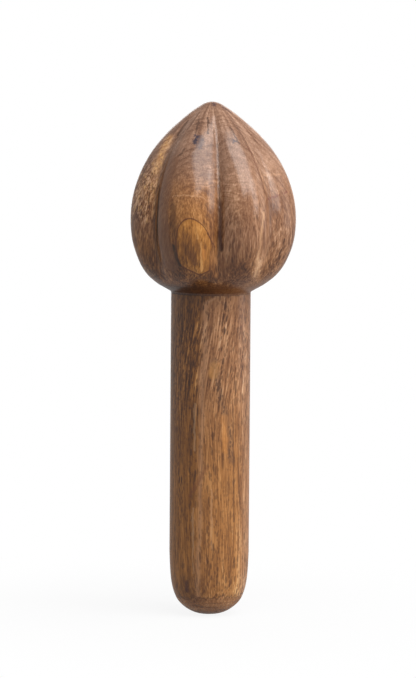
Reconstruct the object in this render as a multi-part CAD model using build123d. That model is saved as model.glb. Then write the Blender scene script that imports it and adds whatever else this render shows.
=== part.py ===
from build123d import *

import math
import os

# Wooden citrus reamer: a carved head, pinned and glued to a turned handle.
# Lengths are in millimetres and angles in degrees. The tool stands upright on the middle of its domed butt,
# which is at the origin, with its tip up +Z. The side that is seen from the front faces -Y, with +X to the
# right.

# Handle
handle_radius = 12.25
handle_length = 99.2
butt_height = 19.6

# Butt outline, from the axis out to the straight grip: radius as a share of the handle's radius, and height
# as a share of the butt's height.
butt_shares = [
    (0.0, 0.0),
    (0.31, 0.02),
    (0.55, 0.087),
    (0.77, 0.21),
    (0.875, 0.34),
    (0.95, 0.53),
    (1.0, 1.0),
]

# Joint between the handle and the head
glue_thickness = 0.15
glue_setback = 0.2
dowel_radius = 5.0
dowel_length = 40.0
dowel_chamfer = 1.0
dowel_groove_count = 12
dowel_groove_radius = 0.6
dowel_groove_depth = 0.4
socket_clearance = 0.1
socket_reserve = 1.0

# Head: a turned foot with a cove, a carved body with grooves, and a rounded nose
head_length = 58.65
head_radius = 26.75
widest_height = 22.7
groove_depth = 4.2
cove_radius = 0.9
flare_angle = 61
flare_width = 3.3
nose_radius = 5.8
nose_angle = 32

# Azimuths of the hand-cut grooves, counted from the front towards +X. They aren't quite evenly spaced.
groove_azimuths = [-48.5, 6.5, 46, 97, 140, 185, 229, 270]

# Depth of each groove as a share of the groove depth, in the same order. The groove at the middle of the
# front is cut deepest, and the one to its right is shallow.
groove_shares = [1.0, 1.25, 0.6, 0.9, 1.0, 1.0, 1.0, 1.0]

# Height of each lobe's crest over the bottom of a groove of the plain depth, as a share of that depth. Each
# lobe runs from the groove of the same place in the lists above to the next one.
lobe_shares = [1.0, 1.0, 1.0, 0.95, 1.0, 0.9, 0.75, 0.77]

# Levels of the carved body: height as a share of the way up, crest radius as a share of the way between
# the end's radius and the head's radius, and groove depth as a share of the full depth.
# Belly, from the top of the foot up to the widest level
belly_shares = [
    (0.0, 0.0, 0.0),
    (0.07, 0.19, 0.08),
    (0.145, 0.37, 0.22),
    (0.275, 0.59, 0.5),
    (0.45, 0.78, 0.78),
    (0.69, 0.94, 0.95),
    (1.0, 1.0, 1.0),
]
# Crown, from the rim of the nose down to the widest level
crown_shares = [
    (0.0, 0.0, 0.0),
    (0.05, 0.12, 0.05),
    (0.13, 0.28, 0.18),
    (0.26, 0.505, 0.42),
    (0.42, 0.715, 0.66),
    (0.6, 0.87, 0.84),
    (0.8, 0.97, 0.96),
]

# Places that follow from the sizes
seam_height = handle_length + glue_thickness
dowel_middle = handle_length + glue_thickness / 2
socket_radius = dowel_radius + socket_clearance
socket_span = dowel_length + 2 * socket_reserve
foot_height = cove_radius * math.sin(math.radians(flare_angle)) + flare_width / math.tan(
    math.radians(flare_angle)
)
foot_radius = handle_radius + cove_radius * (1 - math.cos(math.radians(flare_angle))) + flare_width
nose_rim_radius = nose_radius * math.sin(math.radians(nose_angle))
nose_height = nose_radius * (1 - math.cos(math.radians(nose_angle)))


def turned(outline):
    """The solid that a closed outline in the XZ plane sweeps about the Z axis."""
    with BuildPart() as solid:
        with BuildSketch(Plane.XZ):
            add(make_face(outline.edges()))
        revolve(axis=Axis.Z)
    return solid.part


def socket():
    """The bore that takes the dowel, through both pieces, with room for glue at each end."""
    return Pos(0, 0, dowel_middle) * Cylinder(socket_radius, socket_span)


def make_handle():
    """Straight round grip with a domed butt and a blind socket in its top end."""
    butt = [(handle_radius * across, butt_height * up) for across, up in butt_shares]
    with BuildLine() as outline:
        dome = Spline(*butt, tangents=[(1, 0), (0, 1)])
        Polyline(dome @ 1, (handle_radius, handle_length), (0, handle_length), dome @ 0)
    return turned(outline.line) - socket()


def seen_at(azimuth, radius):
    """Point at a radius from the axis, by its azimuth from the front."""
    angle = math.radians(azimuth)
    return (radius * math.sin(angle), -radius * math.cos(angle))


def lobed_level(height, crest, depth_share):
    """Section through the lobes at one height: one arc from each groove to the next, over the crest."""
    depth = groove_depth * depth_share
    with BuildSketch(Plane.XY.offset(height)) as section:
        with BuildLine():
            for place, start in enumerate(groove_azimuths):
                after = (place + 1) % len(groove_azimuths)
                end = groove_azimuths[after] if after else groove_azimuths[0] + 360
                top = crest - depth * (1 - lobe_shares[place])
                ThreePointArc(
                    seen_at(start, crest - depth * groove_shares[place]),
                    seen_at((start + end) / 2, top),
                    seen_at(end, crest - depth * groove_shares[after]),
                )
        make_face()
    return section.sketch


def make_foot():
    """Turned foot of the head: the neck's cove and the flare above it."""
    with BuildLine() as outline:
        cove = JernArc((handle_radius, 0), (0, 1), cove_radius, -flare_angle)
        Polyline(cove @ 1, (foot_radius, foot_height), (0, foot_height), (0, 0), cove @ 0)
    return Pos(0, 0, seam_height) * turned(outline.line)


def make_carved_body():
    """Body of the head, from the foot to the rim of the nose, with its lobes and grooves."""
    belly_height = widest_height - foot_height
    crown_height = head_length - nose_height - widest_height
    levels = []
    for up, out, groove in belly_shares:
        crest = foot_radius + (head_radius - foot_radius) * out
        levels.append(lobed_level(seam_height + foot_height + belly_height * up, crest, groove))
    nose_rim = seam_height + head_length - nose_height
    for down, out, groove in reversed(crown_shares):
        crest = nose_rim_radius + (head_radius - nose_rim_radius) * out
        levels.append(lobed_level(nose_rim - crown_height * down, crest, groove))
    return loft(levels)


def make_nose():
    """Rounded tip, a cap of a ball that carries on the slope of the crown."""
    with BuildLine() as outline:
        cap = CenterArc((0, -nose_radius + nose_height), nose_radius, 90 - nose_angle, nose_angle)
        Polyline(cap @ 1, (0, 0), cap @ 0)
    return Pos(0, 0, seam_height + head_length - nose_height) * turned(outline.line)


def make_head():
    """Head in one piece of wood: foot, carved body and nose, with a blind socket in its underside."""
    return make_foot() + make_carved_body() + make_nose() - socket()


def make_dowel():
    """Grooved pin with chamfered ends. Its grooves let the glue and the air out as it is driven in."""
    with BuildLine() as outline:
        end = dowel_length / 2
        Polyline(
            (0, -end),
            (dowel_radius - dowel_chamfer, -end),
            (dowel_radius, dowel_chamfer - end),
            (dowel_radius, end - dowel_chamfer),
            (dowel_radius - dowel_chamfer, end),
            (0, end),
            close=True,
        )
    groove = Cylinder(dowel_groove_radius, dowel_length)
    groove_circle = dowel_radius + dowel_groove_radius - dowel_groove_depth
    grooves = PolarLocations(groove_circle, dowel_groove_count) * groove
    return Pos(0, 0, dowel_middle) * (turned(outline.line) - grooves)


def make_glue_line():
    """Cured glue between the two end faces, sanded back a little from the surface of the neck."""
    ring = Cylinder(handle_radius - glue_setback, glue_thickness) - Cylinder(socket_radius, glue_thickness)
    return Pos(0, 0, dowel_middle) * ring


pieces = {
    "reamer_head": make_head(),
    "handle": make_handle(),
    "joint_dowel": make_dowel(),
    "glue_line": make_glue_line(),
}

os.makedirs("parts", exist_ok=True)
for name, piece in pieces.items():
    export_step(piece, os.path.join("parts", name + ".step"))

head_box = pieces["reamer_head"].bounding_box()
print("overall length", round(head_box.max.Z, 2))
print("head width", round(head_box.size.X, 2), "from", round(head_box.min.X, 2), "to", round(head_box.max.X, 2))
print("head depth", round(head_box.size.Y, 2), "from", round(head_box.min.Y, 2), "to", round(head_box.max.Y, 2))
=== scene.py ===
import math
from types import SimpleNamespace

import bpy
import numpy as np
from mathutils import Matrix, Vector


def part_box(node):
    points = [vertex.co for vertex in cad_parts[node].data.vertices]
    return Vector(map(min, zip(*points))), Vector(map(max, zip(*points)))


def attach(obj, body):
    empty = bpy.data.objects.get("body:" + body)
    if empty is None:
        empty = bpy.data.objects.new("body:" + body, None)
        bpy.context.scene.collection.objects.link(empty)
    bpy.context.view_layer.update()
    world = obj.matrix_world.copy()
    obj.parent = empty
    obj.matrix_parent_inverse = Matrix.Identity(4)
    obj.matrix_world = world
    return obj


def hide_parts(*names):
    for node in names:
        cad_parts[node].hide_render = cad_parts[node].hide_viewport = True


# Wooden citrus reamer: finished wood for the head and the handle, and a studio around them.
# Lengths are in metres, and a length given in millimetres is written as a number times MM. Places and
# sizes in the wood's patterns are in millimetres. Angles are written in degrees.
MM = 0.001

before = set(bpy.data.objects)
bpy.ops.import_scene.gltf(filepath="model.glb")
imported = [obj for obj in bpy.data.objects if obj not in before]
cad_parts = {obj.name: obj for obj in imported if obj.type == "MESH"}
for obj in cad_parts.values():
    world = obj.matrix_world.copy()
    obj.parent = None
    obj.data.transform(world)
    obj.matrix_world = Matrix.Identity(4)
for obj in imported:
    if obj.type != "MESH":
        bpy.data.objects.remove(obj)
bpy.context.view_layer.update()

handle_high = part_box("handle")[1]
head_low, head_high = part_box("reamer_head")
dowel_low, dowel_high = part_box("joint_dowel")

# Handle, with the butt's outline from the axis out: radius and height as shares of the full ones. The lip
# at its top stands up into the glue gap by half its width, so that no light shows through the seam.
handle_radius = handle_high.x
handle_length = handle_high.z
butt_height = 19.6 * MM
butt_lead_at_axis = 3 * MM
butt_lead_at_grip = 6 * MM
glue_lip = 0.18 * MM
butt_shares = [
    (0.0, 0.0),
    (0.31, 0.02),
    (0.55, 0.087),
    (0.77, 0.21),
    (0.875, 0.34),
    (0.95, 0.53),
    (1.0, 1.0),
]

# Head, with its levels as shares: height, crest radius, groove depth. Heights on it count from the seam.
seam_height = head_low.z
tip_height = head_high.z
head_length = tip_height - seam_height
head_radius = 26.75 * MM
widest_height = 22.7 * MM
groove_depth = 4.2 * MM
groove_rounding = 2.2 * MM
cove_radius = 0.9 * MM
flare_angle = 61
flare_width = 3.3 * MM
nose_radius = 5.8 * MM
nose_angle = 32
body_lead = 1.5 * MM
socket_radius = 5.1 * MM
socket_reserve = 1.0 * MM
groove_azimuths = [-48.5, 6.5, 46, 97, 140, 185, 229, 270]
groove_shares = [1.0, 1.25, 0.6, 0.9, 1.0, 1.0, 1.0, 1.0]
lobe_shares = [1.0, 1.0, 1.0, 0.95, 1.0, 0.9, 0.75, 0.77]
belly_shares = [
    (0.0, 0.0, 0.0),
    (0.07, 0.19, 0.08),
    (0.145, 0.37, 0.22),
    (0.275, 0.59, 0.5),
    (0.45, 0.78, 0.78),
    (0.69, 0.94, 0.95),
    (1.0, 1.0, 1.0),
]
crown_shares = [
    (0.0, 0.0, 0.0),
    (0.05, 0.12, 0.05),
    (0.13, 0.28, 0.18),
    (0.26, 0.505, 0.42),
    (0.42, 0.715, 0.66),
    (0.6, 0.87, 0.84),
    (0.8, 0.97, 0.96),
]

# Surface left by the tools: fine rings turned on the neck, and a little sanding all over the head
lathe_line_depth = 0.05 * MM
lathe_line_pitch = 0.9 * MM
lathe_line_top = 3.6 * MM
sanding = 0.02 * MM

# How finely the meshes are divided. Crowding moves a lobe's columns towards its grooves, and the sharpness
# says how close to a groove's bottom its mark stays.
columns_per_lobe = 44
column_crowding = 0.55
groove_mark_sharpness = 9
cove_steps = 12
flare_steps = 8
body_steps_per_span = 18
nose_steps = 12
handle_columns = 192
butt_steps_per_span = 14
grip_steps = 60
sharp_angle = 50


def smooth_curve(points, steps, start, end):
    """Points on a smooth curve through the given ones, led in at the start and out at the end."""
    points = [np.array(p, float) for p in points]
    path = [points[0] - start, *points, points[-1] + end]
    curve = []
    for i in range(1, len(path) - 2):
        p0, p1, p2, p3 = path[i - 1 : i + 3]
        t1 = np.linalg.norm(p1 - p0) ** 0.5
        t2 = t1 + np.linalg.norm(p2 - p1) ** 0.5
        t3 = t2 + np.linalg.norm(p3 - p2) ** 0.5
        for k in range(steps):
            t = t1 + (t2 - t1) * k / steps
            a1 = p0 + (p1 - p0) * t / t1
            a2 = p1 + (p2 - p1) * (t - t1) / (t2 - t1)
            a3 = p2 + (p3 - p2) * (t - t2) / (t3 - t2)
            b1 = a1 + (a2 - a1) * t / t2
            b2 = a2 + (a3 - a2) * (t - t1) / (t3 - t1)
            curve.append(b1 + (b2 - b1) * (t - t1) / (t2 - t1))
    curve.append(points[-1])
    return np.array(curve)


def foot_levels():
    """Levels of the turned foot, through its cove and up its flare, and where the body starts."""
    flare = math.radians(flare_angle)
    levels = []
    for k in range(cove_steps + 1):
        turn = flare * k / cove_steps
        reach = handle_radius + cove_radius * (1 - math.cos(turn))
        levels.append((cove_radius * math.sin(turn), reach, 0))
    cove_top = np.array(levels[-1])
    foot = cove_top + (flare_width / math.tan(flare), flare_width, 0)
    for k in range(1, flare_steps):
        levels.append(cove_top + (foot - cove_top) * k / flare_steps)
    return levels, foot


def body_levels(foot):
    """Levels of the carved body, from the foot over the belly and the crown to the rim of the nose."""
    flare = math.radians(flare_angle)
    nose = math.radians(nose_angle)
    rim_radius = nose_radius * math.sin(nose)
    rim_height = head_length - nose_radius * (1 - math.cos(nose))
    rows = []
    for up, out, groove in belly_shares:
        height = foot[0] + (widest_height - foot[0]) * up
        rows.append((height, foot[1] + (head_radius - foot[1]) * out, groove * groove_depth))
    for down, out, groove in reversed(crown_shares):
        height = rim_height - (rim_height - widest_height) * down
        rows.append((height, rim_radius + (head_radius - rim_radius) * out, groove * groove_depth))
    return smooth_curve(
        rows,
        body_steps_per_span,
        start=(body_lead * math.cos(flare), body_lead * math.sin(flare), 0),
        end=(body_lead * math.sin(nose), -body_lead * math.cos(nose), 0),
    )


def nose_levels():
    """Levels of the rounded nose, from above its rim to just under the tip."""
    levels = []
    for k in range(1, nose_steps):
        turn = math.radians(nose_angle) * (1 - k / nose_steps)
        levels.append((head_length - nose_radius * (1 - math.cos(turn)), nose_radius * math.sin(turn), 0))
    return levels


def head_levels():
    """Levels of the head from the seam to just under the tip: height, crest radius and groove depth."""
    lower, foot = foot_levels()
    levels = np.array([*lower, *body_levels(foot), *nose_levels()])
    levels[:, 0] += seam_height
    return levels


def lobe_span(place):
    """Azimuths of the grooves on both sides of a lobe."""
    last = place + 1 == len(groove_azimuths)
    end = groove_azimuths[0] + 360 if last else groove_azimuths[place + 1]
    return math.radians(groove_azimuths[place]), math.radians(end)


def lobe_arc(place, crest, depth):
    """Centre and radius of the arc that a lobe's section follows, from groove to groove over the crest."""
    start, end = lobe_span(place)
    after = (place + 1) % len(groove_azimuths)
    rows = []
    for azimuth, reach in (
        (start, crest - depth * groove_shares[place]),
        ((start + end) / 2, crest - depth * (1 - lobe_shares[place])),
        (end, crest - depth * groove_shares[after]),
    ):
        rows.append((2 * reach * math.sin(azimuth), -2 * reach * math.cos(azimuth), 1, reach**2))
    rows = np.array(rows)
    x, y, rest = np.linalg.solve(rows[:, :3], rows[:, 3])
    return x, y, math.sqrt(rest + x * x + y * y)


def reach_of_arc(arc, azimuth):
    """How far out an arc reaches at an azimuth."""
    x, y, radius = arc
    along = x * math.sin(azimuth) - y * math.cos(azimuth)
    inside = radius**2 - x * x - y * y + along**2
    return along + math.sqrt(inside) if inside > 0 else 0


def soft_largest(a, b, width):
    """The larger of two lengths, with the corner between them rounded over a width."""
    closeness = max(width - abs(a - b), 0) / width
    return max(a, b) + closeness**2 * width / 4


def head_columns():
    """Columns of the head's mesh, closer together near the grooves: azimuth, lobe and groove mark.

    The mark is 0 on a crest and rises to 1 at the bottom of a groove, or to more in a deep one.
    """
    columns = []
    for place in range(len(groove_azimuths)):
        start, end = lobe_span(place)
        for k in range(columns_per_lobe):
            share = k / columns_per_lobe
            eased = share - column_crowding * math.sin(2 * math.pi * share) / (2 * math.pi)
            nearer = place if share < 0.5 else (place + 1) % len(groove_azimuths)
            mark = abs(2 * share - 1) ** groove_mark_sharpness * groove_shares[nearer] ** 2
            columns.append((start + (end - start) * eased, place, mark))
    return columns


def tube_mesh(name, rings, first_point, last_point):
    """Closed skin over rings of points joined one to the next, from a first point to a last one."""
    count = len(rings[0])
    points = [tuple(p) for ring in rings for p in ring] + [first_point, last_point]
    faces = []
    for i in range(len(rings) - 1):
        for k in range(count):
            n = (k + 1) % count
            faces.append((i * count + k, i * count + n, (i + 1) * count + n, (i + 1) * count + k))
    top = (len(rings) - 1) * count
    for k in range(count):
        n = (k + 1) % count
        faces.append((len(points) - 2, n, k))
        faces.append((len(points) - 1, top + k, top + n))
    mesh = bpy.data.meshes.new(name)
    mesh.from_pydata(points, [], faces)
    mesh.validate()
    mesh.shade_smooth()
    mesh.set_sharp_from_angle(angle=math.radians(sharp_angle))
    piece = bpy.data.objects.new(name, mesh)
    bpy.context.scene.collection.objects.link(piece)
    return piece


def round_ring(azimuths, radius, height):
    """Points of a circle about the axis."""
    return [(radius * math.sin(a), -radius * math.cos(a), height) for a in azimuths]


def neck_lines(height):
    """Depth of the fine turned rings at a height on the neck, which fade out above it."""
    above = height - seam_height
    fade = min(max((lathe_line_top - above) / lathe_line_pitch, 0), 1)
    return fade * lathe_line_depth * (0.5 - 0.5 * math.cos(2 * math.pi * above / lathe_line_pitch))


def level_reaches(columns, crest, depth):
    """How far out the head's carved surface is at each column of one level, with its grooves rounded."""
    if depth <= sanding:
        return [crest] * len(columns)
    count = len(groove_azimuths)
    arcs = [lobe_arc(place, crest, depth) for place in range(count)]
    rounding = groove_rounding * depth / groove_depth
    reaches = []
    for azimuth, place, _ in columns:
        reach = reach_of_arc(arcs[place], azimuth)
        for other in ((place - 1) % count, (place + 1) % count):
            reach = soft_largest(reach, reach_of_arc(arcs[other], azimuth), rounding)
        reaches.append(reach)
    return reaches


def make_head():
    """Carved head with its socket, one closed skin. Each point carries the mark of the groove it is in."""
    columns = head_columns()
    azimuths = [c[0] for c in columns]
    socket_end = dowel_high.z + socket_reserve
    rings = [
        round_ring(azimuths, socket_radius, socket_end),
        round_ring(azimuths, socket_radius, (socket_end + seam_height) / 2),
        round_ring(azimuths, socket_radius, seam_height),
        round_ring(azimuths, (socket_radius + handle_radius) / 2, seam_height),
    ]
    groove_marks = [0.0] * (len(columns) * len(rings))
    for height, crest, depth in head_levels():
        ring = []
        for (azimuth, _, mark), reach in zip(columns, level_reaches(columns, crest, depth)):
            reach -= neck_lines(height) + sanding
            ring.append((reach * math.sin(azimuth), -reach * math.cos(azimuth), height))
            groove_marks.append(mark * depth / groove_depth)
        rings.append(ring)
    piece = tube_mesh("head_wood", rings, (0, 0, socket_end), (0, 0, tip_height))
    marks = piece.data.attributes.new("groove", "FLOAT", "POINT")
    marks.data.foreach_set("value", groove_marks + [0.0, 0.0])
    return piece


def make_handle():
    """Turned handle with its socket, one closed skin."""
    azimuths = [2 * math.pi * k / handle_columns for k in range(handle_columns)]
    outline = smooth_curve(
        [(butt_height * up, handle_radius * out) for out, up in butt_shares],
        butt_steps_per_span,
        start=(0, butt_lead_at_axis),
        end=(butt_lead_at_grip, 0),
    )
    rings = [round_ring(azimuths, radius, height) for height, radius in outline[1:]]
    for k in range(1, grip_steps + 1):
        height = butt_height + (handle_length - butt_height) * k / grip_steps
        rings.append(round_ring(azimuths, handle_radius, height))
    inner = handle_radius - glue_lip
    for radius, height in (
        (handle_radius, handle_length + glue_lip / 2),
        (inner, handle_length + glue_lip / 2),
        (inner, handle_length),
        ((socket_radius + handle_radius) / 2, handle_length),
    ):
        rings.append(round_ring(azimuths, radius, height))
    socket_end = dowel_low.z - socket_reserve
    for height in (handle_length, (handle_length + socket_end) / 2, socket_end):
        rings.append(round_ring(azimuths, socket_radius, height))
    return tube_mesh("handle_wood", rings, (0, 0, 0), (0, 0, socket_end))


class Shader:
    """Adds nodes to the tree of a material or of the world, and gives back their outputs."""

    # Noise mostly stays within a quarter of its middle value, so this gain spreads it over 1 either way
    noise_gain = 4.0

    def __init__(self, owner, surface="Principled BSDF"):
        owner.use_nodes = True
        self.owner = owner
        self.tree = owner.node_tree
        self.surface = self.tree.nodes[surface]

    def put(self, socket, value):
        """Links a node's output to a socket, or sets the socket to a fixed value or a screen colour."""
        if isinstance(value, bpy.types.NodeSocket):
            self.tree.links.new(value, socket)
        elif value is not None:
            socket.default_value = colour(*value) if socket.type == "RGBA" else value

    def add(self, kind, sockets, **settings):
        """New node with its settings, and with what goes into its sockets, by their number or name."""
        node = self.tree.nodes.new("ShaderNode" + kind)
        for name, value in settings.items():
            setattr(node, name, value)
        for socket, value in sockets.items():
            self.put(node.inputs[socket], value)
        return node

    def place(self):
        """Place on the object in millimetres."""
        return self.vector("SCALE", self.add("TexCoord", {}).outputs["Object"], scale=1 / MM)

    def vector(self, operation, a, b=None, scale=None):
        node = self.add("VectorMath", {0: a, 1: b, 3: scale}, operation=operation)
        return node.outputs["Value" if operation in ("DOT_PRODUCT", "LENGTH", "DISTANCE") else "Vector"]

    def number(self, operation, a, b=None, c=None):
        return self.add("Math", {0: a, 1: b, 2: c}, operation=operation).outputs[0]

    def joined(self, operation, values):
        result = values[0]
        for value in values[1:]:
            result = self.number(operation, result, value)
        return result

    def times(self, *values):
        return self.joined("MULTIPLY", values)

    def total(self, *values):
        return self.joined("ADD", values)

    def largest(self, *values):
        return self.joined("MAXIMUM", values)

    def smallest(self, *values):
        return self.joined("MINIMUM", values)

    def less(self, a, b):
        return self.number("SUBTRACT", a, b)

    def spread(self, value, low, high, to_low=0.0, to_high=1.0):
        """Maps a range onto another one with soft ends."""
        sockets = dict(enumerate((value, low, high, to_low, to_high)))
        return self.add("MapRange", sockets, interpolation_type="SMOOTHSTEP", clamp=False).outputs[0]

    def noise(self, place, size, detail=2.0, roughness=0.5, output="Fac"):
        """Cloudy pattern whose cells are one size across, along each axis."""
        sizes = size if isinstance(size, tuple) else (size, size, size)
        spot = self.vector("DIVIDE", place, sizes)
        sockets = {"Vector": spot, "Scale": 1.0, "Detail": detail, "Roughness": roughness}
        return self.add("TexNoise", sockets).outputs[output]

    def swing(self, place, size, reach, detail=2.0, roughness=0.5):
        """Cloudy pattern about zero, which mostly stays within the reach on either side."""
        fac = self.noise(place, size, detail, roughness)
        gain = self.noise_gain * reach
        return self.number("MULTIPLY_ADD", fac, gain, -0.5 * gain)

    def wander(self, place, size, reach):
        """The place moved by a cloudy pattern, mostly by less than the reach."""
        push = self.vector("SUBTRACT", self.noise(place, size, output="Color"), (0.5, 0.5, 0.5))
        return self.vector("ADD", place, self.vector("SCALE", push, scale=self.noise_gain * reach))

    def cells(self, place, size):
        """Distance to the middle of the nearest cell, in cell widths, and a colour drawn for that cell."""
        sockets = {"Vector": self.vector("DIVIDE", place, size), "Scale": 1.0}
        outputs = self.add("TexVoronoi", sockets).outputs
        return outputs["Distance"], outputs["Color"]

    def mix(self, share, a, b):
        """Colour a with a share of colour b laid over it."""
        return self.add("Mix", {0: share, 6: a, 7: b}, data_type="RGBA").outputs[2]

    def ramp(self, value, stops):
        """Colour along a row of stops, each a value and a screen colour."""
        node = self.add("ValToRGB", {0: value})
        steps = node.color_ramp.elements
        while len(steps) < len(stops):
            steps.new(0.5)
        for step, (position, shade) in zip(steps, stops):
            step.position = position
            step.color = colour(*shade)
        return node.outputs[0]

    def attribute(self, name):
        return self.add("Attribute", {}, attribute_name=name).outputs["Fac"]

    def parts(self, vector):
        """The three coordinates of a vector."""
        return list(self.add("SeparateXYZ", {0: vector}).outputs)

    def turned(self, vector, angles):
        """A vector turned by angles about the three axes."""
        sockets = {"Vector": vector, "Rotation": [math.radians(a) for a in angles]}
        return self.add("VectorRotate", sockets, rotation_type="EULER_XYZ").outputs[0]

    def bump(self, height, depth, strength):
        """Normal of a surface whose relief is a height times a depth."""
        sockets = {"Strength": strength, "Distance": depth, "Height": height}
        return self.add("Bump", sockets).outputs[0]

    def band(self, value, middle, half_width, softness):
        """1 where a value is near the middle one, 0 away from it."""
        away = self.number("ABSOLUTE", self.less(value, middle))
        return self.spread(away, half_width + softness, half_width - softness)

    def away_from(self, place, points):
        """Distance from a row of points joined by straight lines."""
        nearest = None
        for a, b in zip(points[:-1], points[1:]):
            run = Vector(b) - Vector(a)
            offset = self.vector("SUBTRACT", place, a)
            share = self.number("DIVIDE", self.vector("DOT_PRODUCT", offset, run), run.length_squared)
            share = self.smallest(self.largest(share, 0.0), 1.0)
            distance = self.vector("DISTANCE", offset, self.vector("SCALE", run, scale=share))
            nearest = distance if nearest is None else self.smallest(nearest, distance)
        return nearest

    def streak(self, place, points, half_width, softness):
        """1 along a row of points and 0 beyond the half width, of which a share is the soft edge."""
        distance = self.away_from(place, points)
        return self.spread(distance, half_width, half_width * (1 - softness))

    def blob(self, place, middle, size, softness):
        """1 in the middle of an egg-shaped patch and 0 outside it, with a share of it as the soft edge."""
        offset = self.vector("DIVIDE", self.vector("SUBTRACT", place, middle), size)
        return self.spread(self.vector("LENGTH", offset), 1.0, 1.0 - softness)


def colour(red, green, blue):
    """Shader colour of a 0 to 255 screen colour."""

    def linear(v):
        v = v / 255
        return v / 12.92 if v <= 0.04045 else ((v + 0.055) / 1.055) ** 2.4

    return (linear(red), linear(green), linear(blue), 1.0)


def wood_shades(*shades):
    """Stops of a wood's colours, from the darkest tone of its grain to the lightest one."""
    return list(zip((0.0, 0.3, 0.5, 0.7, 1.0), shades))


# Screen colours, from 0 to 255, of the wood and of the marks in it, with painted shade and sheen among
# them
brown_wood = wood_shades((52, 27, 12), (90, 53, 27), (122, 79, 44), (150, 105, 66), (194, 150, 108))
tan_wood = wood_shades((66, 37, 23), (102, 66, 43), (126, 88, 62), (150, 112, 84), (192, 156, 128))
# Dull wood for the top of the head, partly standing in for the sheen of its highlights
dull_sheen_wood = wood_shades((58, 36, 26), (92, 64, 48), (116, 86, 68), (142, 112, 94), (182, 154, 136))
golden_wood = wood_shades((60, 31, 8), (108, 65, 21), (142, 91, 36), (170, 116, 55), (212, 162, 96))
pore_brown = (48, 24, 11)
line_brown = (70, 32, 14)
pale_brown = (184, 142, 104)
straw = (190, 146, 92)
stain_blue = (36, 30, 42)
# Painted shade in the slit at the bottom of the second groove, with some dark finish in it
slit_shade_brown = (56, 24, 4)
# Painted shade in the grooves, with some dark finish collected there
groove_shade_brown = (42, 29, 20)


# Patterns that all the wood shares: slow patches, streaks, and fibres, whose length each wood sets
patch_size = (6, 6, 30)
streak_size = (1.1, 1.1, 20)
fibre_width = 0.42
middle_tone = 0.5
mark_softness = 0.8
area_softness = 0.9

# Offsets that keep patterns of one kind from lying on each other
bold_offset = (17, 5, 3)
fleck_offset = (3, 27, 11)
handle_offset = (40, 20, 60)
handle_bold_offset = (7, 3, 9)
handle_short_offset = (3, 17, 4)


def grain_tone(s, grain, contrast, fibre_length):
    """Tone of plain wood, from 0, dark, to 1, light, and its fibres alone."""
    patches = s.swing(grain, patch_size, 0.1, 2)
    streaks = s.swing(grain, streak_size, 0.2, 3, 0.65)
    fibres = s.swing(grain, (fibre_width, fibre_width, fibre_length), 0.29, 3, 0.6)
    lines = s.times(s.total(streaks, fibres), contrast)
    return s.total(patches, lines, middle_tone), fibres


def pores(s, grain, width, length, share, offset=None):
    """Open pores, cut along their length into short dark dashes. The share is of cells that have one."""
    if offset:
        grain = s.vector("ADD", grain, offset)
    distance, draw = s.cells(grain, (width * 2, width * 2, length * 1.6))
    lottery, size_draw, _ = s.parts(draw)
    present = s.spread(lottery, 1 - share, 1.05 - share)
    size = s.number("MULTIPLY_ADD", size_draw, 0.18, 0.2)
    inside = s.spread(distance, s.total(size, 0.1), s.less(size, 0.08))
    return s.times(inside, present)


def finish_wood(s, base, hollows, fibres, place, rough):
    """Oiled surface: a thin soft gloss over fibres, pores and the marks of the tools."""
    gloss = s.surface.inputs
    s.put(gloss["Base Color"], base)
    s.put(gloss["Roughness"], s.spread(fibres, -0.2, 0.2, 0.62, 0.5))
    gloss["Specular IOR Level"].default_value = 0.05
    gloss["Coat Weight"].default_value = 0.17
    gloss["Coat Roughness"].default_value = 0.18
    gloss["Coat IOR"].default_value = 2.1
    sanded = s.swing(place, (4, 4, 0.6), 0.1, 1)
    waves = s.swing(place, (2.5, 2.5, 6), 0.5, 1)
    carved = s.times(rough, s.swing(place, (0.5, 0.5, 1.6), 4, 1))
    height = s.total(s.times(fibres, 0.8), s.times(hollows, -0.8), sanded, waves, carved)
    normal = s.bump(height, 0.03 * MM, 0.7)
    s.put(gloss["Normal"], normal)
    s.put(gloss["Coat Normal"], normal)


def add_marks(s, base, place, marks):
    """A colour with marks on it, each along a row of points, with its half width, colour and strength."""
    for points, half_width, shade, strength in marks:
        streak = s.streak(place, points, half_width, mark_softness)
        base = s.mix(s.times(streak, strength), base, shade)
    return base


def add_areas(s, value, place, areas):
    """A value raised or lowered in egg-shaped areas, each with its middle, its size and the change."""
    for middle, size, change in areas:
        value = s.number("MULTIPLY_ADD", s.blob(place, middle, size, area_softness), change, value)
    return value


def round_the_axis(s, place, radius):
    """The place moved to a cylinder, so that a pattern on it runs up the slopes and meets at the tip."""
    outward = s.vector("NORMALIZE", s.vector("MULTIPLY", place, (1, 1, 0)))
    up = s.vector("MULTIPLY", place, (0, 0, 1))
    return s.vector("ADD", s.vector("SCALE", outward, scale=radius), up)


# Grain of the head. The wood leans back, so that its growth rings come to the surface as nested arcs on
# the front. Depths count from the outermost wood that is seen, at the front of the second ridge.
head_lean = (-15, 0, 0)
ring_front = (-4, 5.6)
ring_curve = 400
ring_start = 4.5
ring_pitch = 1.9
ring_even_depth = 14
ring_darkness = 0.14
flame_lean = -42

# Areas of the head with wood of their own, each with its middle and its size: the left ridge and the part
# above it, two with curly grain, and one with leaning flames
left_ridge_area = ((-22, -10, 114), (8, 12, 24))
upper_left_area = ((-20.5, -10, 132), (6, 9, 13))
curly_areas = [((-3, -21, 137), (8, 12, 10)), ((7, -20, 132), (6, 10, 9))]
flamed_area = ((21, -12, 114), (8, 12, 15))

# Small knot on the front of the second ridge, cut lengthways so that it shows like an eye: its middle, how
# far its upper half leans for each millimetre down, and how far out it reaches. The lower half is straight
# on its right side, and ends in a blunt point.
eye_middle = (-5, 115)
eye_slant = 0.17
eye_half_width = 5.35
eye_low_narrowing = 0.75
eye_rise = 8.5
eye_drop = 8.8
eye_point = -3.4
eye_point_slope = 0.48
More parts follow.
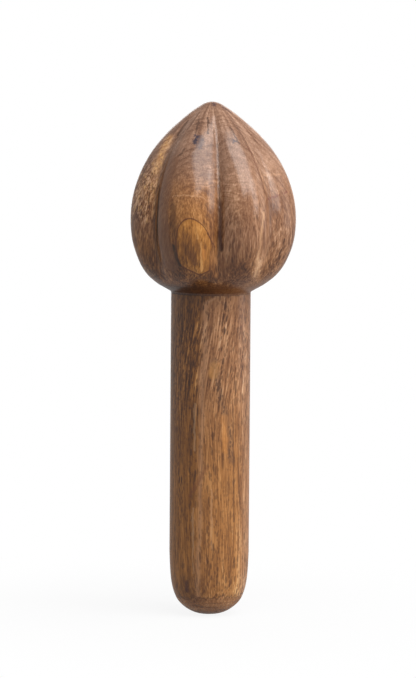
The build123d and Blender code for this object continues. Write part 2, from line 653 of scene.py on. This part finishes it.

# Areas of the head that are darker or lighter than the rest, a few as painted shade or highlight: middle,
# size and change of tone
head_areas = [
    ((0, 0, 159), (10, 10, 8), -0.1),
    ((18.5, -13, 126), (8, 10, 8), -0.19),
    ((6, -20, 134), (7, 10, 10), 0.11),
    # Lighter, partly a painted sheen on the upper part of the fourth ridge
    ((18, -11, 140), (8, 10, 8), 0.14),
    ((6, -23, 119), (5, 8, 8), -0.08),
    ((8, -20, 106), (8, 9, 12), -0.24),
    ((14.5, -18, 108), (4, 6, 9), 0.32),
    ((-4, -20, 143), (6, 8, 6), -0.1),
    ((-4, -20, 103), (12, 10, 5), -0.24),
    # Painted shade beside the eye and low on the second ridge's left, partly darker wood
    ((-12.2, -22.5, 118), (3.4, 6, 15), -0.2),
    ((-10.4, -21, 107.5), (4.6, 7, 7), -0.42),
    ((-22, -10, 106), (9, 12, 14), -0.16),
    ((-20, -10, 130), (8, 12, 10), 0.26),
    ((-5.5, -24, 114), (5.5, 4, 8), -0.24),
    ((0.4, -23, 122), (3.2, 5, 10), -0.12),
    ((11, -22, 130), (5, 6, 7), -0.04),
    # Painted highlight on the crest of the second ridge, partly lighter wood
    ((-3, -19, 141), (2.8, 6, 8), 0.09),
    ((-19, -13, 103), (12, 12, 11), -0.22),
    ((0.2, -21, 106), (3.6, 6, 6), -0.2),
]

# Middles of the painted grey sheen on the side of the first groove and of the golden patch beside it
sheen_flank_middle = [(-12, -16.2, 139.5), (-14, -19.6, 131), (-14.7, -20.5, 122), (-12.8, -19.8, 110)]
golden_middle = [(-17.2, -12.4, 137.4), (-15.8, -11, 142), (-13.2, -7.8, 147)]

# Marks in the head's wood, some of them painted shade: points along each, half width, colour and strength
shade_beside_eye = [(-11.3, -23.2, 115.2), (-10.6, -22.4, 111.6), (-9.5, -21.6, 109.2)]
# Painted shade in the slit at the bottom of the second groove
upper_slit_shade = [(2.6, -22.3, 128.5), (2.7, -22, 118)]
lower_slit_shade = [(2.5, -22.2, 119), (2.9, -21.9, 114.2)]
upper_crack = [(10.4, -13.9, 145.3), (12.4, -16, 141.5), (13.8, -17.3, 138)]
lower_crack = [(13.8, -17.3, 138), (15.1, -18.1, 134.5), (15.8, -18.6, 131)]
stains = [
    ([(-4.7, -14.2, 148), (-5.4, -16.2, 145.7)], 1.3, stain_blue, 0.95),
    ([(-3.3, -15.2, 147.1), (-3.5, -16.9, 145.3)], 1.9, stain_blue, 0.6),
    ([(6.3, -14.5, 147), (6.6, -15.2, 146.2)], 0.8, stain_blue, 0.75),
]
head_marks = [
    ([(-11.6, -23.6, 127.3), (-11.4, -24.1, 122.9), (-11.1, -24.1, 118.4)], 1.6, (72, 42, 16), 0.5),
    ([(-18.9, -12.8, 133.1), (-18.9, -13.6, 130), (-19, -14.2, 126)], 0.36, pore_brown, 0.8),
    ([(-20.6, -11.4, 134.6), (-20.2, -11.8, 133)], 0.6, pore_brown, 0.5),
    ([(-18, -13.4, 133.2), (-17.9, -13.7, 131.4)], 0.4, pore_brown, 0.6),
    ([(-20.7, -12.1, 131.2), (-21.1, -13.1, 126.6)], 0.8, (88, 48, 24), 0.55),
    # Painted shade beside the eye, on its left
    (shade_beside_eye, 0.8, (38, 20, 9), 0.88),
    ([(-5.9, -24, 112.6), (-5, -22.8, 109.9)], 1.7, (80, 43, 16), 0.65),
    ([(-1.3, -24.3, 119.2), (-0.4, -23.7, 117.7), (0.3, -22.9, 116), (1.3, -21.9, 114.2)], 0.32,
     line_brown, 0.65),
    ([(-8.4, -25, 120), (-8.4, -24.4, 113.5)], 0.7, (92, 54, 22), 0.45),
    ([(-6, -25, 119), (-5.6, -24.2, 113.5)], 0.5, (92, 54, 22), 0.4),
    ([(-2, -24.4, 117), (-1.6, -23.6, 112)], 0.45, (96, 54, 22), 0.45),
    ([(4.2, -23.8, 122.8), (6.2, -24.6, 124.4), (8.2, -24.6, 126.4)], 0.42, line_brown, 0.6),
    ([(3.4, -23.4, 121.2), (5, -24, 121.6), (7.6, -24.4, 123.8)], 0.35, line_brown, 0.35),
    ([(16.9, -17.4, 129.2), (19.2, -15.2, 129.8), (22.8, -11.2, 131.1)], 0.6, (92, 44, 28), 0.8),
    ([(22.2, -13.3, 116.9), (20.9, -12.9, 112.3)], 0.45, pore_brown, 0.75),
    ([(-1.3, -8.5, 153.3), (-1.2, -13.6, 148.6)], 0.5, pore_brown, 0.8),
    ([(0.5, -11.7, 149.8), (0.5, -13.4, 147.9)], 0.4, pore_brown, 0.6),
    ([(5.6, -11, 150.4), (6.8, -13.3, 148.1), (8.2, -15.2, 145.8)], 0.5, pore_brown, 0.7),
    ([(-7.5, -5.9, 152.2), (-8.7, -7, 150.5), (-10.4, -8.7, 148)], 0.8, pore_brown, 0.65),
    ([(-4, -8.3, 152.9), (-4.9, -13.2, 149)], 0.55, pore_brown, 0.55),
    ([(-8.3, -16.7, 144.1), (-9.6, -17.5, 142.2)], 0.6, pore_brown, 0.55),
    ([(0.4, -2.4, 157.4), (0.5, -3.4, 157)], 1, (52, 32, 36), 0.7),
    ([(3.3, -3, 156.3), (5.6, -3.7, 154.8)], 0.8, (60, 36, 30), 0.7),
    (upper_crack, 0.4, (84, 44, 24), 0.8),
    (lower_crack, 0.45, (76, 40, 22), 0.85),
    # Painted shade along the bottom of the first groove
    ([(-15.8, -16.1, 131.8), (-16, -17.6, 128.5), (-16.3, -18, 121.3), (-16.3, -16.2, 115.5)], 1.1,
     groove_shade_brown, 0.65),
    ([(-15.8, -15.9, 132), (-16, -17.8, 128.5), (-16.2, -18.5, 121.3), (-16.2, -16.3, 114.8)], 0.6,
     groove_shade_brown, 0.9),
]

# Pale marks in the head's wood
head_pale_marks = [
    ([(-11.8, -22.8, 130), (-8.2, -24.2, 130.5), (-5.5, -24.6, 130.3)], 0.4, pale_brown, 0.4),
    ([(-5.5, -24.6, 130.3), (-3.4, -24.3, 130.1), (0.7, -22.7, 128)], 0.4, pale_brown, 0.3),
    ([(15.6, -15.5, 136.2), (20.7, -10.9, 136.3)], 0.6, (190, 146, 110), 0.2),
    ([(8.6, -10.2, 149), (11.3, -13, 145.2), (13.2, -15, 141.5)], 0.35, (192, 152, 118), 0.3),
    ([(12.4, -14.2, 143.2), (14.8, -16.4, 137.8), (16.7, -17.6, 131.4)], 0.45, (192, 152, 118), 0.38),
    ([(16.7, -17.6, 131.4), (16, -20, 128), (15.6, -20.9, 126.2)], 0.35, (192, 152, 118), 0.25),
    ([(15.6, -20.9, 125.2), (14.9, -21.8, 119), (14, -19.9, 111.3)], 0.8, (190, 146, 106), 0.42),
    ([(14, -19.9, 111.3), (13.2, -15.6, 105.7)], 1, (186, 146, 110), 0.5),
    ([(7, -24.1, 125.5), (9, -24.1, 126.7)], 0.35, pale_brown, 0.35),
    ([(-5, -25, 122), (-4.2, -25, 117.5)], 0.6, (196, 146, 88), 0.45),
    ([(-3.2, -24.5, 116.5), (-3.1, -23.6, 112.4), (-2.9, -22.6, 109.9), (-2.8, -21.5, 107.5)], 0.6,
     (210, 154, 90), 0.5),
    ([(-2.2, -24, 113.6), (-1.8, -23, 108.8)], 1.1, (186, 120, 56), 0.5),
    ([(-8.5, -23.4, 110.2), (-6.8, -22.8, 108.4)], 0.5, (196, 146, 80), 0.5),
    ([(-2, -25, 121.2), (-1.3, -25, 119.6)], 0.35, (214, 174, 100), 0.6),
]


def ring_shade(s, grain, waved):
    """Change of tone by the growth rings, which darken towards their late wood, some more than others."""
    across, inward, _ = s.parts(waved)
    beside = s.less(across, ring_front[0])
    bow = s.number("DIVIDE", s.times(beside, beside), ring_curve)
    depth = s.less(s.less(inward, ring_front[1]), bow)
    deep = s.spread(depth, ring_start, ring_start + ring_even_depth)
    depth = s.total(depth, s.times(deep, s.swing(grain, (22, 22, 60), 4, 1)))
    rings = s.number("DIVIDE", s.less(depth, ring_start), ring_pitch)
    late = s.spread(s.number("FRACT", rings), 0.3, 0.85)
    late = s.times(late, s.spread(s.number("FRACT", rings), 1, 0.86))
    weight = s.spread(s.noise(s.number("FLOOR", rings), 0.77, 0), 0.35, 0.65, 0.1, 1)
    in_rings = s.spread(depth, ring_start, ring_start + 0.2)
    return s.times(late, weight, in_rings, -ring_darkness)


def head_tone(s, head, contrast):
    """Tone of the head's wood with its rings, areas and leaning streaks, its fibres and its wavy grain."""
    place = head.place
    waved = s.wander(head.grain, (4, 4, 18), 0.14)
    rings = ring_shade(s, head.grain, waved)
    tone, fibres = grain_tone(s, waved, contrast, 3.2)
    tone = add_areas(s, s.total(tone, rings), place, head_areas)
    curly = [s.blob(place, middle, size, 0.6) for middle, size in curly_areas]
    curl = s.swing(s.wander(place, (3, 3, 3), 0.4), (4.5, 4.5, 0.5), 0.16, 2)
    curl = s.times(curl, s.largest(*curly))
    flames = s.swing(s.turned(place, (0, flame_lean, 0)), (0.9, 0.9, 6), 0.3, 3, 0.6)
    flames = s.times(flames, s.blob(place, *flamed_area, 0.7))
    converging = s.swing(round_the_axis(s, place, 10), (0.9, 0.9, 12), 0.23, 3, 0.6)
    converging = s.times(converging, s.spread(head.height, 138, 150))
    return s.total(tone, curl, flames, converging), fibres, waved


def eye_reach(s, place):
    """How far out from the knot's middle a place is, 1 at its outline, and where that outline is faint."""
    across, inward, height = s.parts(s.wander(place, (5, 5, 8), 0.2))
    down = s.less(eye_middle[1], height)
    lean = s.times(s.smallest(down, 0), eye_slant)
    aside = s.less(across, s.total(lean, eye_middle[0]))
    corner = s.times(s.spread(aside, 0, 2), s.spread(down, 0, 2))
    wide = s.number("DIVIDE", aside, s.number("MULTIPLY_ADD", corner, -eye_low_narrowing, eye_half_width))
    tall = s.number("DIVIDE", down, s.spread(down, -0.5, 0.5, eye_rise, eye_drop))
    tall = s.times(tall, tall, s.less(1, corner))
    oval = s.number("SQRT", s.total(s.times(wide, wide), tall))
    beside = s.number("ABSOLUTE", s.less(across, eye_point))
    slope = s.number("MULTIPLY_ADD", beside, eye_point_slope, down)
    reach = s.largest(oval, s.number("DIVIDE", slope, eye_drop))
    behind = s.spread(inward, -12, -8, 0, 4)
    return s.total(reach, behind), s.times(corner, s.spread(down, 7, 5.6))


def head_masks(s):
    """Coordinates and areas that several steps of the head's wood share."""
    head = SimpleNamespace(place=s.place())
    head.across, _, head.height = s.parts(head.place)
    head.grain = s.turned(head.place, head_lean)
    head.edge = s.wander(head.place, (1.2, 1.2, 4), 0.7)
    head.left_ridge = s.blob(head.edge, *left_ridge_area, 0.6)
    head.upper_left = s.blob(head.edge, *upper_left_area, 0.6)
    head.smooth_crown = s.spread(head.height, 116, 140, 1, 0.55)
    head.eye_reach, head.eye_faint = eye_reach(s, head.place)
    head.in_eye = s.spread(head.eye_reach, 1.03, 0.97)
    head.golden_patch = s.streak(head.edge, golden_middle, 2.5, 0.9)
    return head


def head_colours(s, head, tone):
    """Colour of the head's wood: brown, tan to the right, dull at the top partly as a painted sheen,
    golden in and near the eye.
    """
    across, height = head.across, head.height
    second_ridge = s.spread(across, 3.4, 1.8)
    near_eye = s.times(s.spread(head.eye_reach, 2, 1.1), second_ridge)
    tan = s.times(s.spread(across, -2, 5), s.spread(height, 106, 120, 0.2, 1))
    tan = s.largest(tan, s.times(s.spread(height, 132, 142), 0.8))
    base = s.mix(tan, s.ramp(tone, brown_wood), s.ramp(tone, tan_wood))
    # Duller wood towards the top, partly standing in for the sheen of the highlights there
    base = s.mix(s.spread(height, 128, 145, 0, 0.8), base, s.ramp(tone, dull_sheen_wood))
    golden = s.total(s.times(head.in_eye, 0.55), s.times(near_eye, 0.35))
    base = s.mix(golden, base, s.ramp(s.total(tone, s.times(head.in_eye, 0.02)), golden_wood))

    left_gold = s.times(head.left_ridge, s.spread(height, 122, 112, 0, 0.7))
    base = s.mix(s.times(head.left_ridge, 0.7), base, s.ramp(tone, tan_wood))
    base = s.mix(left_gold, base, s.ramp(s.less(tone, 0.1), golden_wood))
    patch_tone = s.total(tone, 0.34)
    patch = s.mix(0.5, s.ramp(patch_tone, golden_wood), s.ramp(patch_tone, tan_wood))
    return s.mix(s.times(head.golden_patch, 0.75), base, patch)


def add_head_pores(s, head, waved, base):
    """The head's colour with its pores, and with pale flecks on the left, and where the pores are."""
    left = s.largest(head.left_ridge, head.upper_left)
    fine = pores(s, waved, 0.34, 1.5, 0.85)
    bold = pores(s, waved, 0.5, 2.6, 0.6, bold_offset)
    low = s.spread(head.height, 120, 106)
    speckled = s.total(s.times(left, 0.7), s.times(head.golden_patch, 0.6), s.times(low, 0.3))
    amount = s.spread(s.noise(head.grain, (4, 4, 18)), 0.35, 0.65, 0.15, 0.55)
    amount = s.smallest(s.total(s.times(amount, head.smooth_crown), speckled), 1)
    amount = s.times(amount, s.number("MULTIPLY_ADD", head.in_eye, -0.25, 1))
    hollows = s.times(s.largest(s.times(fine, 0.75), bold), amount)
    pore_shade = s.mix(left, pore_brown, (76, 42, 20))
    base = s.mix(s.times(hollows, 0.8), base, pore_shade)
    flecks = pores(s, waved, 0.5, 2.6, 0.7, fleck_offset)
    light = s.times(head.left_ridge, s.spread(head.height, 116, 124, 0.3, 0.9))
    light = s.largest(light, head.golden_patch)
    light = s.largest(light, s.times(head.upper_left, 0.8))
    return s.mix(s.times(flecks, light, 0.8), base, straw), hollows


def shade_grooves(s, head, tone, base):
    """The head's colour with painted shade in its grooves and a painted grey sheen on the first groove's
    side.
    """
    # Painted shade in the grooves, with some dark finish collected there, weaker low on the belly
    shaded = s.times(s.attribute("groove"), s.spread(head.height, 104, 116, 0.1, 0.45))
    base = s.mix(shaded, base, groove_shade_brown)
    # Painted grey sheen, in a duller tan, on the side of the first groove
    flank_sheen = s.streak(head.edge, sheen_flank_middle, 3.6, 0.25)
    flank_sheen_wood = s.ramp(s.number("MULTIPLY_ADD", tone, 0.4, 0.13), tan_wood)
    return s.mix(s.times(flank_sheen, s.spread(head.height, 136, 108, 0.7, 0.9)), base, flank_sheen_wood)


def add_head_marks(s, head, base):
    """The head's colour with the eye's outline, the stains, the dark and pale marks, some of them painted
    shade, and the painted shade of the slit.
    """
    outline = s.times(s.band(head.eye_reach, 1, 0.024, 0.022), s.spread(head.across, 3.4, 2.6))
    outline = s.times(outline, s.number("MULTIPLY_ADD", head.eye_faint, -0.6, 0.85))
    base = s.mix(outline, base, line_brown)
    nearby = s.wander(head.place, (0.9, 0.9, 3), 0.25)
    base = add_marks(s, base, s.wander(head.place, (1, 1, 1), 0.9), stains)
    base = add_marks(s, base, nearby, head_marks)
    base = add_marks(s, base, nearby, head_pale_marks)
    # Painted shade in the slit at the bottom of the second groove, with some dark finish in it
    base = s.mix(s.times(s.streak(nearby, upper_slit_shade, 1.15, 0.8), 0.75), base, slit_shade_brown)
    return s.mix(s.times(s.streak(nearby, lower_slit_shade, 1.3, 0.7), 0.97), base, slit_shade_brown)


def add_shaded_collar(s, head, tone, base):
    """The head's colour with its foot darker up to a ragged edge, partly dark wood and partly painted
    shade, and lighter to the right as painted light.
    """
    ragged = s.total(head.height, s.swing(head.place, (1.5, 1.5, 2), 0.4))
    collar_shade = s.spread(ragged, 103.6, 101.8)
    # Lighter to the right, as painted light on the foot
    collar_lit_tone = s.total(s.times(tone, 0.4), s.spread(head.across, -12, 12, -0.18, 0.2))
    return s.mix(s.times(collar_shade, 0.92), base, s.ramp(collar_lit_tone, brown_wood))


def head_material():
    """Wood of the head: its colours, then its pores, painted groove shade and sheen, marks and shaded
    foot, and the gloss over them.
    """
    s = Shader(bpy.data.materials.new("head_wood"))
    head = head_masks(s)
    cracked = s.times(head.left_ridge, s.spread(head.height, 118, 126, 0, 1.6))
    contrast = s.total(head.smooth_crown, cracked, head.upper_left, s.times(head.in_eye, -0.1))
    tone, fibres, waved = head_tone(s, head, contrast)
    base = head_colours(s, head, tone)
    base, hollows = add_head_pores(s, head, waved, base)
    base = shade_grooves(s, head, tone, base)
    base = add_head_marks(s, head, base)
    base = add_shaded_collar(s, head, tone, base)
    finish_wood(s, base, hollows, fibres, head.place, s.attribute("groove"))
    return s.owner


# Areas and marks in the handle's wood, as for the head
handle_areas = [
    ((-0.5, -12, 14), (7, 9, 26), -0.13),
    ((-7, -9, 6), (8, 9, 12), -0.12),
    ((10.5, -6, 14), (5, 10, 26), 0.13),
    ((7, -8, 8), (6, 8, 10), 0.16),
]
slanted = [(1, -12.2, 79.5), (3, -11.9, 69.6), (5.6, -10.9, 59.4), (6.6, -10.3, 48.8)]
handle_marks = [
    (slanted, 1.6, (86, 62, 46), 0.35),
    ([(6.9, -10.1, 66), (7.2, -9.9, 48.8), (7.4, -9.8, 30)], 0.4, (74, 46, 28), 0.7),
    ([(8.8, -8.6, 60), (9.2, -8.2, 20)], 0.35, (84, 52, 30), 0.55),
    ([(5.6, -10.9, 46), (5.8, -10.8, 18)], 0.35, (84, 52, 30), 0.5),
    ([(-0.6, -12.2, 47), (-3, -11.9, 43.5), (-6, -10.7, 38)], 1, (92, 48, 28), 0.45),
    ([(-7.1, -9.6, 10.8), (-6.7, -9, 8.6)], 1.2, (66, 32, 20), 0.8),
]
handle_pale_marks = [
    ([(1.4, -12.2, 78), (0.8, -12.2, 75.5)], 2.2, (176, 124, 66), 0.5),
    ([(4.4, -11.4, 62), (4.8, -11.2, 52)], 1.6, (186, 122, 58), 0.35),
    ([(-4.6, -11.4, 66), (-4.8, -11.3, 52)], 0.6, (160, 126, 94), 0.4),
    ([(-5, -11.2, 34), (-5, -11.2, 14)], 0.5, (168, 132, 96), 0.4),
    ([(0.6, -12.2, 40), (0.8, -12.2, 22)], 0.5, (176, 134, 96), 0.35),
]


def handle_masks(s):
    """Coordinates and areas that several steps of the handle's wood share.

    The border is how far a place lies to the right of the slanting line that the dark band follows.
    """
    wood = SimpleNamespace(place=s.place())
    wood.across, inward, wood.height = s.parts(wood.place)
    sweep = s.vector("SCALE", (-1, 0, 0), scale=s.spread(wood.height, 60, 104, 0, 6))
    wood.grain = s.vector("ADD", s.turned(wood.place, (0, 1.2, 0)), sweep)
    wood.waved = s.wander(wood.grain, (5, 5, 22), 0.4)
    bend = s.swing(wood.place, (6, 6, 12), 0.6)
    border = s.total(wood.across, s.times(s.less(wood.height, 60), -0.025), bend)
    wood.border = s.less(border, s.spread(wood.height, 96.6, 99.4, 0, 3))
    wood.front = s.spread(inward, 2, -6)
    wood.dark_band = s.times(s.spread(wood.border, -3, -4.6), wood.front)
    return wood


def handle_tone(s, wood):
    """Tone of the handle's wood, which has more contrast higher up, and its fibres alone."""
    height = wood.height
    contrast = s.times(wood.dark_band, s.spread(height, 50, 70, -0.1, 0.3))
    contrast = s.total(contrast, s.spread(height, 45, 80, 0.92, 1.25))
    near_seam = s.spread(height, 88, 98, 1, 0.6)
    left_side = s.spread(wood.across, -11.8, -9, 0.4, 1)
    contrast = s.times(contrast, near_seam, left_side)
    tone, fibres = grain_tone(s, s.vector("ADD", wood.waved, handle_offset), contrast, 9)
    tone = s.total(tone, s.spread(height, 90, 20, -0.02, 0.03))
    return add_areas(s, tone, wood.place, handle_areas), fibres


def handle_colours(s, wood, tone):
    """Colour of the handle's wood: golden lower down, a dark band on the left, fine lines on the right."""
    across, height = wood.across, wood.height
    golden = s.spread(height, 85, 40, 0.2, 0.7)
    base = s.mix(golden, s.ramp(tone, tan_wood), s.ramp(tone, golden_wood))
    base = s.mix(s.times(s.spread(across, 8, 11), 0.6), base, s.ramp(tone, tan_wood))
    band_tone = s.total(tone, s.spread(height, 92, 20, -0.3, -0.16))
    base = s.mix(s.times(wood.dark_band, 0.85), base, s.ramp(band_tone, golden_wood))
    pale_stripe = s.times(s.band(wood.border, -2.4, 0.6, 0.6), wood.front)
    base = s.mix(s.times(pale_stripe, 0.35), base, (164, 124, 92))
    lines = s.spread(s.noise(wood.waved, (0.7, 0.7, 60), 1), 0.42, 0.34)
    right_side = s.times(s.spread(across, 3, 6), s.spread(height, 70, 50), wood.front)
    return s.mix(s.times(lines, right_side, 0.6), base, (84, 50, 27))


def add_handle_pores(s, wood, nearby, base):
    """The handle's colour with its pores, and where they are. Short ones crowd in the dark wood."""
    fine = pores(s, wood.waved, 0.34, 1.2, 0.9)
    bold = pores(s, wood.waved, 0.46, 2.4, 0.7, handle_bold_offset)
    short = pores(s, wood.waved, 0.5, 0.9, 0.8, handle_short_offset)
    amount = s.spread(s.noise(wood.grain, (4, 4, 30)), 0.35, 0.65, 0.3, 0.8)
    upper = s.spread(wood.height, 62, 80, 0, 0.6)
    dashed = s.times(wood.dark_band, s.spread(wood.height, 50, 70, 0.3, 1))
    dashed = s.largest(dashed, s.streak(nearby, slanted, 1.6, 0.5))
    dashed = s.largest(upper, dashed)
    amount = s.smallest(s.total(amount, s.times(dashed, 0.5)), 1)
    hollows = s.times(s.largest(s.times(fine, 0.75), bold), amount)
    hollows = s.largest(hollows, s.times(short, s.largest(dashed, 0.45), 0.75))
    return s.mix(s.times(hollows, 0.85), base, (54, 29, 16)), hollows


def add_end_grain(s, wood, tone, base):
    """The handle's colour with the end grain of its butt, with a ragged dark border, and where that is."""
    fringe = s.swing(wood.place, (1.2, 1.2, 3), 0.8)
    ragged = s.total(wood.height, fringe, s.swing(wood.place, (5, 5, 5), 0.7))
    base = s.mix(s.times(s.band(ragged, 6.4, 0.3, 0.25), 0.7), base, (66, 37, 22))
    end_grain = s.spread(ragged, 6.8, 5.6)
    dots = s.spread(s.cells(wood.place, (0.5, 0.5, 0.5))[0], 0.3, 0.12)
    mottle = s.swing(wood.place, (7, 7, 1.2), 0.2)
    end_tone = s.total(s.times(tone, 0.6), s.times(dots, -0.25), mottle, 0.22)
    return s.mix(end_grain, base, s.ramp(end_tone, brown_wood)), end_grain


def handle_material():
    """Wood of the handle: its colours, then its pores, marks and end grain, and the gloss over them."""
    s = Shader(bpy.data.materials.new("handle_wood"))
    wood = handle_masks(s)
    tone, fibres = handle_tone(s, wood)
    base = handle_colours(s, wood, tone)
    nearby = s.wander(wood.place, (0.9, 0.9, 3), 0.3)
    base, hollows = add_handle_pores(s, wood, nearby, base)
    base = add_marks(s, base, nearby, handle_pale_marks)
    base = add_marks(s, base, nearby, handle_marks)
    base, end_grain = add_end_grain(s, wood, tone, base)
    finish_wood(s, base, hollows, fibres, wood.place, end_grain)
    return s.owner


# Studio: how far the lamps stand from the middle that they face, the light from all round, and the floor,
# which fades into the white from one distance to another, in millimetres
lamp_distance = 0.9
lit_middle = Vector((0, 0, tip_height * 0.6))
dim_light = 0.14
floor_half = 3.0
floor_fade = (15, 130)


def plain_material(name, shade, roughness):
    """Material of a piece that hardly shows: one colour, a little cloudy."""
    s = Shader(bpy.data.materials.new(name))
    cloud = s.times(s.noise(s.place(), 1.5, 3.0), 0.2)
    s.put(s.surface.inputs["Base Color"], s.mix(cloud, shade, (0, 0, 0)))
    s.put(s.surface.inputs["Roughness"], roughness)
    return s.owner


def soft_lamp(name, azimuth, elevation, size, power):
    """Flat rectangular lamp at an azimuth and an elevation from the object's middle, which it faces."""
    data = bpy.data.lights.new(name, "AREA")
    data.shape = "RECTANGLE"
    data.size, data.size_y = size
    data.energy = power
    lamp = bpy.data.objects.new(name, data)
    turn, rise = math.radians(azimuth), math.radians(elevation)
    away = Vector((math.sin(turn) * math.cos(rise), -math.cos(turn) * math.cos(rise), math.sin(rise)))
    lamp.location = lit_middle + away * lamp_distance
    lamp.rotation_euler = (-away).to_track_quat("-Z", "Y").to_euler()
    lamp.visible_camera = False
    bpy.context.scene.collection.objects.link(lamp)


def seen_white(s):
    """1 for what is seen straight, in a reflection or through glass, and 0 for light on the object."""
    rays = s.add("LightPath", {}).outputs
    return s.largest(rays["Is Camera Ray"], rays["Is Glossy Ray"], rays["Is Transmission Ray"])


def make_floor():
    """Pale floor with the object's soft shadow, which fades into the white surroundings further off."""
    corners = [(-1, -1), (1, -1), (1, 1), (-1, 1)]
    mesh = bpy.data.meshes.new("floor")
    mesh.from_pydata([(x * floor_half, y * floor_half, 0) for x, y in corners], [], [(0, 1, 2, 3)])
    floor = bpy.data.objects.new("floor", mesh)
    bpy.context.scene.collection.objects.link(floor)
    s = Shader(bpy.data.materials.new("floor"))
    s.surface.inputs["Base Color"].default_value = (0.5, 0.5, 0.5, 1.0)
    s.surface.inputs["Roughness"].default_value = 0.9
    s.surface.inputs["Specular IOR Level"].default_value = 0.0
    white = s.add("Emission", {})
    fade = s.spread(s.vector("LENGTH", s.place()), *floor_fade, 0.9, 1.0)
    share = s.times(seen_white(s), fade)
    blend = s.add("MixShader", {0: share, 1: s.surface.outputs[0], 2: white.outputs[0]})
    s.put(s.tree.nodes["Material Output"].inputs["Surface"], blend.outputs[0])
    mesh.materials.append(s.owner)


def make_surroundings():
    """White all round for the eye, and a plain dim light from every side on the object."""
    s = Shader(bpy.data.worlds.new("studio"), "Background")
    s.put(s.surface.inputs["Color"], (255, 255, 255))
    level = s.add("Mix", {0: seen_white(s), 2: dim_light, 3: 1.0}, data_type="FLOAT")
    s.put(s.surface.inputs["Strength"], level.outputs[0])
    bpy.context.scene.world = s.owner


def make_camera():
    """Camera at the photograph's angle, a little above the level of the neck.

    The photograph's height and the object's length in it are in pixels.
    """
    frame_height = 678
    length_in_frame = 514.1
    sensor = 36.0
    lens = 200.0
    elevation = math.radians(5.0)
    roll = math.radians(0.41)
    aim = Vector((-0.8 * MM, 0, 85.13 * MM))
    distance = lens / sensor * frame_height * (tip_height / length_in_frame)
    data = bpy.data.cameras.new("camera")
    data.lens = lens
    data.sensor_width = sensor
    camera = bpy.data.objects.new("camera", data)
    camera.location = aim + distance * Vector((0, -math.cos(elevation), math.sin(elevation)))
    camera.rotation_euler = (aim - camera.location).to_track_quat("-Z", "Y").to_euler()
    camera.rotation_euler.rotate_axis("Z", roll)
    bpy.context.scene.collection.objects.link(camera)
    bpy.context.scene.camera = camera


head = make_head()
head.data.materials.append(head_material())
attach(head, "root")
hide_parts("reamer_head")

handle = make_handle()
handle.data.materials.append(handle_material())
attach(handle, "root")
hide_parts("handle")

for node, shade, roughness in (
    ("joint_dowel", (205, 176, 138), 0.7),
    ("glue_line", (58, 36, 24), 0.6),
):
    material = plain_material(node, shade, roughness)
    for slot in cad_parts[node].material_slots:
        slot.material = material

make_floor()
make_surroundings()
for name, azimuth, elevation, size, power in (
    ("key_lamp", 38, 57, (0.86, 0.98), 17.2),
    ("window_lamp", 66, 22, (0.36, 0.5), 3.2),
    ("side_lamp", 102, 10, (0.5, 0.7), 2.0),
    ("rim_lamp", -115, 10, (0.8, 1.0), 0.4),
    ("back_lamp", 180, 8, (0.5, 0.8), 3.6),
):
    soft_lamp(name, azimuth, elevation, size, power)
make_camera()

bpy.context.scene.view_settings.view_transform = "Standard"
